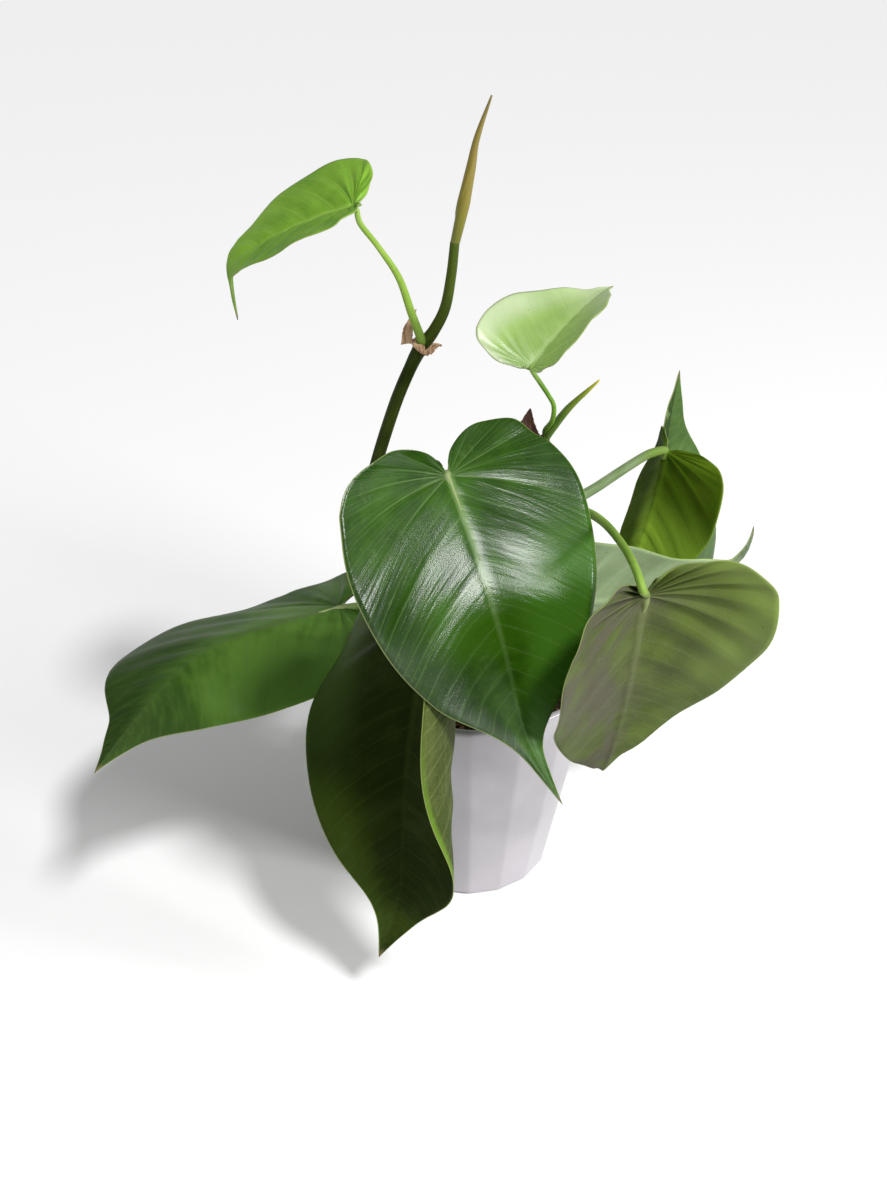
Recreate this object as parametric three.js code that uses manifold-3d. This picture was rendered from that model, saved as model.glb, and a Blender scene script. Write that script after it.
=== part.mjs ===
// Potted heartleaf philodendron, in millimetres. +Z is up, the front is towards -Y, and the centre
// of the pot's foot is the origin.
import * as THREE from "three";
import { mergeVertices } from "three/addons/utils/BufferGeometryUtils.js";
import Module from "manifold-3d";

const wasm = await Module();
wasm.setup();

const { degToRad, lerp, clamp, smoothstep } = THREE.MathUtils;

// Left between pieces that touch
const GAP = 0.3;

// The pot is a sixteen-sided cup, and its soil stops below the rim
const POT = {
  facets: 16,
  height: 88,
  footRadius: 28,
  edgeRadius: 31.2,
  edgeHeight: 4,
  rimRadius: 48,
  wall: 3,
  floor: 4,
};
const SOIL = { edgeHeight: 76, crownHeight: 79.5, unevenness: 0.7 };
const HOLE_SIDES = 16;

const BLADE_THICKNESS = 0.8;
const BLADE_RAYS = 21; // veins followed from the midrib to each margin
const BLADE_STEPS = 5; // points from the midrib out to the margin
const MIDRIB_STEPS = 24;
const VEIN_SLANT = 0.8; // how far back along the midrib a vein starts, for each step out
const VEIN_BOW = 0.1; // how far a vein arches, as a share of its length
const SINUS_SHARE = 0.06; // the outline starts this far round it, which leaves the sinus open
const HALF_WIDTH = 0.4; // widest place of the half outline, as a share of the length

const STEM_SIDES = 10;
const PETIOLE_SIDES = 8;
const STEPS_A_SPAN = 3;
const SEAT_STEP = 0.05;

const COLOURS = {
  pot: 0xd6d4de,
  soil: 0x3b2a20,
  leaf: 0x2f6b2a,
  shadedLeaf: 0x27521f,
  youngLeaf: 0x79b23c,
  stem: 0x55682f,
  petiole: 0x7fa34a,
  newLeaf: 0xa3a03c,
  tanSheath: 0xb08a5c,
  darkSheath: 0x4a2a20,
};

// Half of a blade's outline, from the sinus round the lobe to the tip, as shares of the length:
// along the midrib, and out from it
const HALF_OUTLINE = new THREE.SplineCurve(
  [
    [-0.02, 0.012],
    [-0.11, 0.045],
    [-0.185, 0.12],
    [-0.205, 0.21],
    [-0.16, 0.305],
    [-0.04, 0.375],
    [0.12, HALF_WIDTH],
    [0.3, 0.375],
    [0.48, 0.3],
    [0.65, 0.195],
    [0.79, 0.085],
    [0.9, 0.034],
    [1, 0],
  ].map(([along, out]) => new THREE.Vector2(along, out)),
);

// Each leaf: where its blade joins the stalk, which way the midrib sets off (yaw about +Z, pitch up,
// roll about itself), and how it bends on the way to the tip. Pairs are the left and right half.
// Angles are in degrees, and lobe and wide scale the outline. The stalk's points, each with its
// radius, run from beside the stem to just short of the blade, which it then meets from below.
const LEAVES = {
  young_left: {
    base: [-37, -30, 268],
    yaw: 171,
    pitch: -17,
    roll: -3,
    length: 61,
    wide: [1, 1],
    lobe: 0.45,
    droop: 25,
    sway: 6,
    twist: -12,
    fold: [10, 21],
    foldTip: [0, 3],
    curl: [-6, -1],
    curlTip: [-2, 0],
    lobeTurn: [-13, -3],
    tip: { at: 0.72, over: 0.1, droop: 55, sway: 21, twist: -5 },
    colour: COLOURS.youngLeaf,
    stalk: [
      [-18.3, -23.9, 222.6, 1.4],
      [-20, -24.2, 232.5, 1.3],
      [-23.7, -25.2, 244.2, 1.1],
      [-29.8, -26.6, 254.5, 0.9],
      [-35, -28.6, 262.3, 0.9],
    ],
  },
  young_right: {
    base: [17, -50, 225],
    yaw: 56,
    pitch: 24,
    roll: -2,
    length: 52,
    wide: [1.03, 1],
    lobe: 0.5,
    droop: 20,
    sway: -1,
    twist: -4,
    fold: [29, 29],
    foldTip: [18, 20],
    curl: [12, 14],
    curlTip: [3, 5],
    lobeTurn: [-2, 0],
    tip: { at: 0.75, over: 0.12, droop: 8, sway: 6, twist: 0 },
    colour: COLOURS.youngLeaf,
    stalk: [
      [22.9, -40.2, 200.6, 0.6],
      [24.4, -42.2, 203.6, 0.9],
      [24.5, -44.3, 209.3, 0.9],
      [22.5, -46.8, 214.1, 0.8],
      [19.6, -49, 219.3, 0.75],
    ],
  },
  front: {
    base: [-8.2, -77.2, 201.2],
    yaw: -49.5,
    pitch: -56,
    roll: -2,
    length: 107,
    wide: [1.03, 1.09],
    lobe: 0.59,
    droop: 22,
    sway: -1,
    twist: 17,
    fold: [3, 6],
    foldTip: [6.5, -4],
    curl: [3, -1.5],
    curlTip: [1.5, -7.5],
    lobeTurn: [19, -24.5],
    tip: { at: 0.8, over: 0.15, droop: -26.5, sway: 10.5, twist: -5 },
    colour: COLOURS.leaf,
    stalk: [
      [12.1, -14.6, 125, 0.6],
      [11, -16.5, 130, 1.9],
      [8.5, -22, 141, 1.9],
      [4.5, -34, 160, 1.8],
      [-1, -50, 182, 1.6],
      [-6.5, -65, 195, 1.4],
    ],
  },
  right: {
    base: [49.4, -94.9, 171.1],
    yaw: 95,
    pitch: -78.5,
    roll: -25,
    length: 101,
    wide: [0.95, 1.03],
    lobe: 0.58,
    droop: -13,
    sway: 0,
    twist: 4,
    fold: [-15.5, -22],
    foldTip: [-2, 4],
    curl: [-13.5, -18],
    curlTip: [-3, -5],
    lobeTurn: [4, -2],
    tip: { at: 0.75, over: 0.12, droop: -15.5, sway: -14, twist: 3 },
    colour: COLOURS.leaf,
    stalk: [
      [19.7, -28.8, 157, 0.6],
      [21.2, -30.3, 161.5, 1.9],
      [27, -36, 168, 1.8],
      [35, -46, 173.5, 1.7],
      [40.2, -63, 178, 1.6],
      [44, -83, 180.8, 1.5],
      [46.2, -97.6, 181, 1.4],
      [47.9, -102.4, 177, 1.3],
    ],
  },
  upper_right: {
    base: [69, 8, 169],
    yaw: 25,
    pitch: -99,
    roll: 3,
    length: 69,
    wide: [1, 1.06],
    lobe: 0.35,
    droop: 13,
    sway: 6,
    twist: -15,
    fold: [22, 10],
    foldTip: [10, 14],
    curl: [7, 5],
    curlTip: [-2, 5],
    lobeTurn: [-40, -40],
    tip: { at: 0.75, over: 0.12, droop: -2, sway: 4, twist: 0 },
    colour: COLOURS.shadedLeaf,
    stalk: [
      [25.8, 3.3, 145.5, 0.6],
      [28.7, 3.5, 148, 2],
      [33, 3.8, 150.5, 2.1],
      [42.7, 4, 156.2, 2],
      [52.5, 4.7, 163.2, 1.9],
      [60.1, 5.5, 168.3, 1.7],
      [64, 6.3, 169.8, 1.6],
    ],
  },
  back: {
    base: [84.6, 31, 77.2],
    yaw: 111,
    pitch: 58.5,
    roll: 24,
    length: 106,
    wide: [1, 1],
    lobe: 0.55,
    droop: -17,
    sway: -5,
    twist: -3,
    fold: [19.5, -12],
    foldTip: [25.5, 9.5],
    curl: [-3, -18],
    curlTip: [-7.5, -6],
    lobeTurn: [0, 0],
    tip: { at: 0.75, over: 0.12, droop: -7.5, sway: -2, twist: -2 },
    colour: COLOURS.leaf,
    stalk: [
      [19.6, 11, 93.5, 0.6],
      [22.3, 12.6, 97, 1.9],
      [36, 18, 103, 2],
      [56, 27, 100, 1.9],
      [72, 34, 90, 1.7],
      [80, 35.5, 80, 1.5],
    ],
  },
  inner: {
    base: [34, -22, 126],
    yaw: -2,
    pitch: -2,
    roll: -53,
    length: 76,
    wide: [1, 1],
    lobe: 0.5,
    droop: -39,
    sway: -9,
    twist: 2,
    fold: [10, 15],
    foldTip: [7, -3],
    curl: [0, 9],
    curlTip: [-1, -9],
    lobeTurn: [0, 0],
    tip: { at: 0.85, over: 0.12, droop: -26, sway: -55, twist: -5 },
    colour: COLOURS.leaf,
    stalk: [
      [18.9, 3.6, 109, 0.6],
      [18.6, 1.6, 112, 1.7],
      [20, -8, 115, 1.7],
      [24, -20, 118, 1.6],
      [29, -26, 121, 1.4],
    ],
  },
  left: {
    base: [-48.9, 8.8, 105.6],
    yaw: 212,
    pitch: 3,
    roll: 2.5,
    length: 126.5,
    wide: [0.82, 0.97],
    lobe: 0.85,
    droop: 1,
    sway: 9,
    twist: 4.5,
    fold: [-8.5, -17.5],
    foldTip: [-47, -13],
    curl: [5.5, -3.5],
    curlTip: [-24, -12],
    lobeTurn: [17.5, -17.5],
    tip: { at: 0.45, over: 0.25, droop: 9, sway: 30, twist: -9 },
    colour: COLOURS.leaf,
    stalk: [
      [-16.3, 0.7, 96.5, 0.6],
      [-19, 4, 99.5, 1.9],
      [-26, 11.5, 101.5, 1.9],
      [-34, 16, 102.2, 1.8],
      [-42, 14, 102.6, 1.6],
    ],
  },
  low: {
    base: [-12.3, -49.2, 137.7],
    yaw: -113.5,
    pitch: -46.5,
    roll: 8.5,
    length: 126,
    wide: [1.27, 0.91],
    lobe: 0.4,
    droop: 43,
    sway: 8,
    twist: -18,
    fold: [20.5, -12.5],
    foldTip: [-12.5, 30.5],
    curl: [63.5, -31.5],
    curlTip: [158.5, 8],
    lobeTurn: [0, 0],
    tip: { at: 0.75, over: 0.12, droop: 4, sway: -20, twist: -15.5 },
    colour: COLOURS.shadedLeaf,
    stalk: [
      [-13.7, -6.6, 90, 0.6],
      [-14, -9.2, 93.5, 1.9],
      [-14.2, -18, 104, 1.9],
      [-13.8, -31.5, 119.5, 1.8],
      [-13, -41, 130, 1.5],
    ],
  },
};

// Each stem: its centre line from the bottom of its hole up, as x, y, z and radius. It swells at
// the nodes, where a leaf stalk stands beside it.
const STEMS = {
  vine_tall: [
    [-12, -4, 62, 2.3],
    [-12, -4, 74, 2.3],
    [-12.2, -3.8, 84, 2.3],
    [-13.2, -2.6, 91, 2.6],
    [-14, -1.6, 97, 2.5],
    [-15.5, -1, 108, 2.2],
    [-20, -4, 121, 2.2],
    [-28.5, -12, 138, 2.1],
    [-34, -18, 156, 2.1],
    [-34.2, -20, 168, 2.1],
    [-32, -20, 179, 2.1],
    [-25.7, -20, 199.2, 2.1],
    [-20.6, -20, 212.1, 2.1],
    [-17.2, -20, 219, 2.4],
    [-13, -20, 224.8, 1.9],
    [-9.3, -20, 232.5, 1.75],
    [-7.4, -20, 243, 1.6],
    [-6.3, -20, 253.8, 1.5],
  ],
  vine_front: [
    [12, -5, 62, 2.1],
    [12, -5, 74, 2.1],
    [12, -5.4, 86, 2.1],
    [12.4, -8, 105, 1.9],
    [13, -11.2, 126, 2.3],
    [15, -18, 142, 1.8],
    [17, -26, 158, 2.2],
    [19.2, -31.5, 174.8, 1.6],
    [21.5, -36, 191.1, 1.5],
    [22.5, -37, 195.2, 1.7],
  ],
  vine_back: [
    [15, 8, 62, 2.3],
    [15, 8, 74, 2.3],
    [15.2, 8.2, 84, 2.3],
    [16.5, 9.3, 94, 2.6],
    [17.5, 8.4, 102, 2.2],
    [19, 7.2, 110, 2.5],
    [20.5, 5, 126, 2.2],
    [22.5, 3, 146, 2.4],
    [23.2, 2.6, 151, 1.6],
  ],
};

// The two rolled new leaves, which stand on the ends of their stems
const NEW_LEAVES = {
  new_leaf_tall: [
    [-6.25, -20, 254.2, 1.55],
    [-4.7, -20, 260.9, 1.8],
    [-3.5, -20, 266.5, 2],
    [-1.5, -20, 276.7, 1.55],
    [0.4, -20, 286.6, 0.95],
    [4.5, -20, 298.6, 0.35],
  ],
  new_leaf_front: [
    [23, -37.2, 195.9, 1.3],
    [24.8, -38.4, 200.1, 1.15],
    [27.9, -40, 206.6, 1],
    [32.8, -41.5, 212, 0.8],
    [38.5, -42.5, 217.3, 0.4],
  ],
};

// Dry sheaths: a ring round the stem at its node, and flaps that stand up or hang from it. A flap
// is a centre line, each point with its width, and the direction across it.
const SHEATHS = {
  sheath_tall: {
    ring: { at: [-17.4, -20, 218.7], towards: [-14.8, -20, 222.2], inner: 3.2, outer: 3.95, height: 2.2 },
    flaps: [
      {
        line: [
          [-21.4, -20.2, 220.6, 3.8],
          [-20.8, -20, 226, 3.4],
          [-18.6, -19.4, 231.8, 0.4],
        ],
        across: [0.9, -0.3, 0.2],
      },
      {
        line: [
          [-14.6, -23.4, 219.2, 3],
          [-12.4, -23.4, 221.6, 2.6],
          [-10.4, -23.6, 221.4, 0.5],
        ],
        across: [0.4, 0.5, -0.6],
      },
    ],
    colour: COLOURS.tanSheath,
  },
  sheath_front: {
    ring: { at: [21.4, -35.9, 190.8], towards: [22.5, -37, 195.2], inner: 2.4, outer: 3.1, height: 2.6 },
    flaps: [
      {
        line: [
          [20.4, -38.7, 191.4, 3],
          [18.4, -39.2, 196.4, 6],
          [17.4, -39.6, 201, 4],
          [17.6, -40, 206.6, 0.5],
        ],
        across: [0.95, 0.1, -0.3],
      },
    ],
    colour: COLOURS.darkSheath,
  },
};
const SHEATH_THICKNESS = 0.7;
const RING_SIDES = 12;
const FLAP_STEPS = 8;

const vector = ([x, y, z]) => new THREE.Vector3(x, y, z);

// Turns two square axes in their own plane, the first towards the second
function turnAxes(first, second, degrees) {
  const cos = Math.cos(degToRad(degrees));
  const sin = Math.sin(degToRad(degrees));
  const old = first.clone();
  first.multiplyScalar(cos).addScaledVector(second, sin);
  second.multiplyScalar(cos).addScaledVector(old, -sin);
}

// Points of the midrib with their axes: along it, to the blade's left, and up from its top face
function midribOf(leaf) {
  const yaw = degToRad(leaf.yaw);
  const pitch = degToRad(leaf.pitch);
  const along = new THREE.Vector3(
    Math.cos(pitch) * Math.cos(yaw),
    Math.cos(pitch) * Math.sin(yaw),
    Math.sin(pitch),
  );
  const up = new THREE.Vector3(
    -Math.sin(pitch) * Math.cos(yaw),
    -Math.sin(pitch) * Math.sin(yaw),
    Math.cos(pitch),
  );
  const side = up.clone().cross(along);
  turnAxes(side, up, leaf.roll);

  const { at, over, droop, sway, twist } = leaf.tip;
  const tipShare = (s) => smoothstep(s, at - over, at + over);
  const step = leaf.length / MIDRIB_STEPS;
  const point = vector(leaf.base);
  const midrib = [];
  for (let i = 0; i <= MIDRIB_STEPS; i++) {
    midrib.push({ point: point.clone(), along: along.clone(), side: side.clone(), up: up.clone() });
    const share = tipShare((i + 1) / MIDRIB_STEPS) - tipShare(i / MIDRIB_STEPS);
    point.addScaledVector(along, step / 2);
    turnAxes(up, along, leaf.droop / MIDRIB_STEPS + droop * share);
    turnAxes(along, side, leaf.sway / MIDRIB_STEPS + sway * share);
    turnAxes(side, up, leaf.twist / MIDRIB_STEPS + twist * share);
    point.addScaledVector(along, step / 2);
  }
  return midrib;
}

// Where a point of the flat outline lies on the bent blade. half is 0 on the left, 1 on the right.
function bladePoint(leaf, midrib, along, out, half) {
  const s = clamp(along, 0, 1) * MIDRIB_STEPS;
  const i = Math.min(Math.floor(s), MIDRIB_STEPS - 1);
  const between = (axis) => midrib[i][axis].clone().lerp(midrib[i + 1][axis], s - i);

  const share = smoothstep(along, 0, 1);
  const fold = degToRad(lerp(leaf.fold[half], leaf.foldTip[half], share));
  const curl = degToRad(lerp(leaf.curl[half], leaf.curlTip[half], share));
  const bend = (curl * out) / HALF_WIDTH / 2;
  const chord = out * leaf.length * (bend === 0 ? 1 : Math.sin(bend) / bend);
  const back = Math.min(along, 0) * leaf.length;
  const lobeTurn = degToRad(leaf.lobeTurn[half]);
  return between("point")
    .addScaledVector(between("along"), back * Math.cos(lobeTurn))
    .addScaledVector(between("side"), chord * Math.cos(fold + bend) * (half === 0 ? 1 : -1))
    .addScaledVector(between("up"), chord * Math.sin(fold + bend) + back * Math.sin(lobeTurn));
}

// Points of one vein in the flat outline, from the midrib to the margin
function veinPoints(leaf, t, half) {
  const edge = HALF_OUTLINE.getPoint(t);
  const start = new THREE.Vector2(clamp(edge.x - VEIN_SLANT * edge.y, 0, 1), 0);
  const end = new THREE.Vector2(edge.x < 0 ? edge.x * leaf.lobe : edge.x, edge.y * leaf.wide[half]);
  const bow = edge.x > -0.05 ? VEIN_BOW : VEIN_BOW / 5;
  const middle = new THREE.Vector2(
    (start.x + end.x) / 2 - (end.y - start.y) * bow,
    (start.y + end.y) / 2 + (end.x - start.x) * bow,
  );
  return new THREE.QuadraticBezierCurve(start, middle, end).getPoints(BLADE_STEPS);
}

// Collects triangles of a surface, with points that coincide made one
class Sheet {
  points = [];
  faces = [];
  #known = new Map();

  add(point) {
    const key = [point.x, point.y, point.z].map((v) => v.toFixed(4)).join();
    if (!this.#known.has(key)) {
      this.#known.set(key, this.points.length);
      this.points.push(point);
    }
    return this.#known.get(key);
  }

  face(a, b, c) {
    if (a !== b && b !== c && c !== a) this.faces.push([a, b, c]);
  }

  // Two faces for each cell of a grid of point numbers
  cells(rows, flip) {
    for (let i = 0; i + 1 < rows.length; i++) {
      for (let j = 0; j + 1 < rows[i].length; j++) {
        const [a, b, c, d] = [rows[i][j], rows[i + 1][j], rows[i + 1][j + 1], rows[i][j + 1]];
        this.face(a, flip ? c : b, flip ? b : c);
        this.face(a, flip ? d : c, flip ? c : d);
      }
    }
  }

  // A closed solid: the sheet moved out along its own normals on both faces, and its edge closed
  thicken(thickness) {
    const normals = this.points.map(() => new THREE.Vector3());
    for (const face of this.faces) {
      const [a, b, c] = face.map((i) => this.points[i]);
      const normal = b.clone().sub(a).cross(c.clone().sub(a));
      face.forEach((i) => normals[i].add(normal));
    }
    const moved = (share) =>
      this.points.map((p, i) => p.clone().addScaledVector(normals[i].normalize(), thickness * share));
    const count = this.points.length;
    const edges = new Set();
    for (const [a, b, c] of this.faces) {
      for (const edge of [[a, b], [b, c], [c, a]]) edges.add(edge.join());
    }
    const triangles = [];
    for (const [a, b, c] of this.faces) {
      triangles.push([a, b, c], [a + count, c + count, b + count]);
      for (const [from, to] of [[a, b], [b, c], [c, a]]) {
        if (edges.has([to, from].join())) continue;
        triangles.push([to, from, from + count], [to, from + count, to + count]);
      }
    }
    return geometryOf([...moved(0.5), ...moved(-0.5)], triangles);
  }
}

function geometryOf(points, triangles) {
  const geometry = new THREE.BufferGeometry().setFromPoints(points);
  geometry.setIndex(triangles.flat());
  geometry.computeVertexNormals();
  return geometry;
}

function bladeGeometry(leaf) {
  const midrib = midribOf(leaf);
  const sheet = new Sheet();
  for (const half of [0, 1]) {
    const rows = [];
    for (let i = 0; i <= BLADE_RAYS; i++) {
      const vein = veinPoints(leaf, lerp(SINUS_SHARE, 1, i / BLADE_RAYS), half);
      rows.push(vein.map((p) => sheet.add(bladePoint(leaf, midrib, p.x, Math.max(p.y, 0), half))));
    }
    sheet.cells(rows, half === 1);
  }
  return sheet.thicken(BLADE_THICKNESS);
}

// A tapered tube with flat ends along stations of x, y, z and radius
function tubeGeometry(stations, sides) {
  const curve = new THREE.CatmullRomCurve3(stations.map(vector), false, "catmullrom");
  const steps = (stations.length - 1) * STEPS_A_SPAN;
  const points = [];
  const triangles = [];
  const across = new THREE.Vector3(0, 1, 0);
  for (let i = 0; i <= steps; i++) {
    const span = Math.min(Math.floor(i / STEPS_A_SPAN), stations.length - 2);
    const radius = lerp(stations[span][3], stations[span + 1][3], i / STEPS_A_SPAN - span);
    const tangent = curve.getTangent(i / steps);
    across.addScaledVector(tangent, -across.dot(tangent)).normalize();
    const other = tangent.clone().cross(across);
    for (let k = 0; k < sides; k++) {
      const angle = (2 * Math.PI * k) / sides;
      points.push(
        curve
          .getPoint(i / steps)
          .addScaledVector(across, radius * Math.cos(angle))
          .addScaledVector(other, radius * Math.sin(angle)),
      );
    }
  }
  for (let i = 0; i < steps; i++) {
    for (let k = 0; k < sides; k++) {
      const [a, b] = [i * sides + k, i * sides + ((k + 1) % sides)];
      triangles.push([a, b, b + sides], [a, b + sides, a + sides]);
    }
  }
  const last = steps * sides;
  for (let k = 1; k + 1 < sides; k++) {
    triangles.push([0, k + 1, k], [last, last + k, last + k + 1]);
  }
  return geometryOf(points, triangles);
}

// The stalk ends under the start of the midrib, as near to the blade as leaves the gap
function petioleGeometry(leaf, blade) {
  const end = leaf.stalk.at(-1)[3];
  const { point, along, up } = midribOf(leaf)[0];
  const bladeSolid = solidOf(blade);
  let below = BLADE_THICKNESS;
  let stalk;
  do {
    below += SEAT_STEP;
    const last = point.clone().addScaledVector(up, -below).addScaledVector(along, -GAP);
    stalk = tubeGeometry([...leaf.stalk, [...last.toArray(), end]], PETIOLE_SIDES);
  } while (solidOf(stalk).minGap(bladeSolid, 1) < GAP);
  return stalk;
}

function lathe(profile, sides) {
  const points = profile.map(([radius, height]) => new THREE.Vector2(radius, height));
  return new THREE.LatheGeometry(points, sides).rotateX(Math.PI / 2);
}

// Radius of the pot's inner wall at a height
function innerRadius(height) {
  const share = (height - POT.edgeHeight) / (POT.height - POT.edgeHeight);
  return lerp(POT.edgeRadius, POT.rimRadius, share) - POT.wall;
}

function potGeometry() {
  const { footRadius, edgeRadius, edgeHeight, rimRadius, height, wall, floor } = POT;
  const lip = wall / 4;
  return lathe(
    [
      [0, 0],
      [footRadius, 0],
      [footRadius + 0.6 * (edgeRadius - footRadius), 0.15 * edgeHeight],
      [footRadius + 0.9 * (edgeRadius - footRadius), 0.5 * edgeHeight],
      [edgeRadius, edgeHeight],
      [rimRadius, height - lip],
      [rimRadius - lip, height],
      [rimRadius - wall + lip, height],
      [innerRadius(height - lip), height - lip],
      [innerRadius(floor + wall), floor + wall],
      [innerRadius(floor) - wall, floor],
      [0, floor],
    ],
    POT.facets,
  );
}

function solidOf(geometry) {
  const bare = geometry.clone();
  bare.deleteAttribute("normal");
  bare.deleteAttribute("uv");
  const merged = mergeVertices(bare);
  return new wasm.Manifold(
    new wasm.Mesh({
      numProp: 3,
      vertProperties: new Float32Array(merged.attributes.position.array),
      triVerts: new Uint32Array(merged.index.array),
    }),
  );
}

function geometryFrom(solid) {
  const mesh = solid.getMesh();
  const geometry = new THREE.BufferGeometry();
  geometry.setAttribute("position", new THREE.BufferAttribute(mesh.vertProperties, 3));
  geometry.setIndex(new THREE.BufferAttribute(mesh.triVerts, 1));
  geometry.computeVertexNormals();
  return geometry;
}

// The soil fills the pot to a low uneven mound, and each stem stands in its own plain hole
function soilGeometry() {
  const { floor, wall, facets } = POT;
  const { edgeHeight, crownHeight, unevenness } = SOIL;
  const edge = innerRadius(edgeHeight) - GAP;
  const rings = [0.85, 0.65, 0.45, 0.25];
  const mound = lathe(
    [
      [0, floor + GAP],
      [innerRadius(floor) - wall - GAP, floor + GAP],
      [innerRadius(floor + wall) - GAP, floor + wall + GAP],
      [edge, edgeHeight],
      ...rings.map((share) => [edge * share, lerp(crownHeight, edgeHeight, share * share)]),
      [0, crownHeight],
    ],
    facets,
  );
  const position = mound.attributes.position;
  for (let i = 0; i < position.count; i++) {
    const [x, y, z] = [position.getX(i), position.getY(i), position.getZ(i)];
    if (z > edgeHeight) position.setZ(i, z + unevenness * Math.sin(x / 5) * Math.cos(y / 7));
  }
  let soil = solidOf(mound);
  for (const [[x, y, z, radius]] of Object.values(STEMS)) {
    const hole = radius + 2 * GAP;
    const cutter = wasm.Manifold.cylinder(POT.height - z, hole, hole, HOLE_SIDES);
    soil = soil.subtract(cutter.translate([x, y, z - GAP]));
  }
  return geometryFrom(soil);
}

function ringGeometry({ at, towards, inner, outer, height }) {
  const profile = [
    [inner, 0],
    [outer, 0],
    [outer - GAP, height],
    [inner, height],
    [inner, 0],
  ];
  const axis = vector(towards).sub(vector(at)).normalize();
  const turn = new THREE.Quaternion().setFromUnitVectors(new THREE.Vector3(0, 0, 1), axis);
  return lathe(profile, RING_SIDES).applyQuaternion(turn).translate(...at);
}

function flapGeometry({ line, across }) {
  const curve = new THREE.CatmullRomCurve3(line.map(vector), false, "catmullrom");
  const sheet = new Sheet();
  const rows = [];
  for (let i = 0; i <= FLAP_STEPS; i++) {
    const s = (i / FLAP_STEPS) * (line.length - 1);
    const span = Math.min(Math.floor(s), line.length - 2);
    const width = lerp(line[span][3], line[span + 1][3], s - span);
    const middle = curve.getPoint(i / FLAP_STEPS);
    const sideways = vector(across).normalize();
    rows.push(
      [-0.5, 0, 0.5].map((share) => sheet.add(middle.clone().addScaledVector(sideways, share * width))),
    );
  }
  sheet.cells(rows, true);
  return sheet.thicken(SHEATH_THICKNESS);
}

function sheathGeometry({ ring, flaps }) {
  const parts = [ringGeometry(ring), ...flaps.map(flapGeometry)].map(solidOf);
  return geometryFrom(wasm.Manifold.union(parts));
}

const plant = new THREE.Group();

function addPiece(name, geometry, color, roughness) {
  const material = new THREE.MeshStandardMaterial({ color, roughness, metalness: 0 });
  const piece = new THREE.Mesh(geometry, material);
  piece.name = name;
  plant.add(piece);
}

addPiece("pot", potGeometry(), COLOURS.pot, 0.3);
addPiece("soil", soilGeometry(), COLOURS.soil, 0.95);
for (const [name, stations] of Object.entries(STEMS)) {
  addPiece(name, tubeGeometry(stations, STEM_SIDES), COLOURS.stem, 0.5);
}
for (const [name, leaf] of Object.entries(LEAVES)) {
  const blade = bladeGeometry(leaf);
  addPiece(`blade_${name}`, blade, leaf.colour, 0.35);
  addPiece(`petiole_${name}`, petioleGeometry(leaf, blade), COLOURS.petiole, 0.45);
}
for (const [name, stations] of Object.entries(NEW_LEAVES)) {
  addPiece(name, tubeGeometry(stations, PETIOLE_SIDES), COLOURS.newLeaf, 0.45);
}
for (const [name, sheath] of Object.entries(SHEATHS)) {
  addPiece(name, sheathGeometry(sheath), sheath.colour, 0.8);
}

export default plant;
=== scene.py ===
"""Looks of the potted heartleaf philodendron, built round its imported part.

Lengths in the tables are real sizes in millimetres. A mesh is turned to metres when it is made.
+Z is up, the front is towards -Y, and the centre of the pot's foot is the origin.
"""

import random
from math import cos, exp, hypot, pi, radians, sin, sqrt

import bpy
import numpy as np
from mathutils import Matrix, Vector, noise


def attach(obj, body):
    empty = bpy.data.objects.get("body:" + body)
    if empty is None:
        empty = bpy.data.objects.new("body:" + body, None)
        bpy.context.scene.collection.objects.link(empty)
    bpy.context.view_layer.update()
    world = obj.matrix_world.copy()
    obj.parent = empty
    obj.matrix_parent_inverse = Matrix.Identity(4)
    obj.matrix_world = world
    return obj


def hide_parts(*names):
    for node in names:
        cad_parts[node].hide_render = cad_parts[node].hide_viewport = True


MM = 0.001
BODY = "root"
SEED = 7

POT = {
    "facets": 16, "height": 88, "foot": 28, "edge": 31.2, "edge_height": 4, "rim": 48, "wall": 3,
    "floor": 4,
}
SOIL = {"edge": 76, "crown": 79.5, "unevenness": 0.7}

# A blade is a grid of rays that follow its veins to the margin, and steps along them
BLADE_THICKNESS = 0.55
RAYS = 120
STEPS = 24
MIDRIB_STEPS = 24
VEIN_SLANT = 0.8
VEIN_BOW = 0.1
FINE_VEINS = 46
SINUS_SHARE = 0.06
HALF_WIDTH = 0.4

# Half of a blade's outline from the sinus round the lobe to the tip, as shares of the length
HALF_OUTLINE = np.array([
    (-0.02, 0.012), (-0.11, 0.045), (-0.185, 0.12), (-0.205, 0.21), (-0.16, 0.305), (-0.04, 0.375),
    (0.12, HALF_WIDTH), (0.3, 0.375), (0.48, 0.3), (0.65, 0.195), (0.79, 0.085), (0.9, 0.034), (1, 0),
])

# Where the main side veins of each half reach the margin, as shares of the outline. A leaf's are
# shifted by up to VEIN_SHIFT, and its halves each way by HALF_SHIFT.
MAIN_VEINS = (0.12, 0.21, 0.3, 0.39, 0.47, 0.545, 0.61, 0.665, 0.715, 0.76, 0.805)
VEIN_SHIFT = 0.012
HALF_SHIFT = 0.01

# Depth of a vein sunk in the top face and height of its rib below, each with a half width
SIDE_VEIN = {"sunk": (0.3, 1.0), "raised": (0.3, 0.8)}
MIDRIB = {"sunk": (0.45, 1.5), "raised": (0.95, 0.95)}

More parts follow.
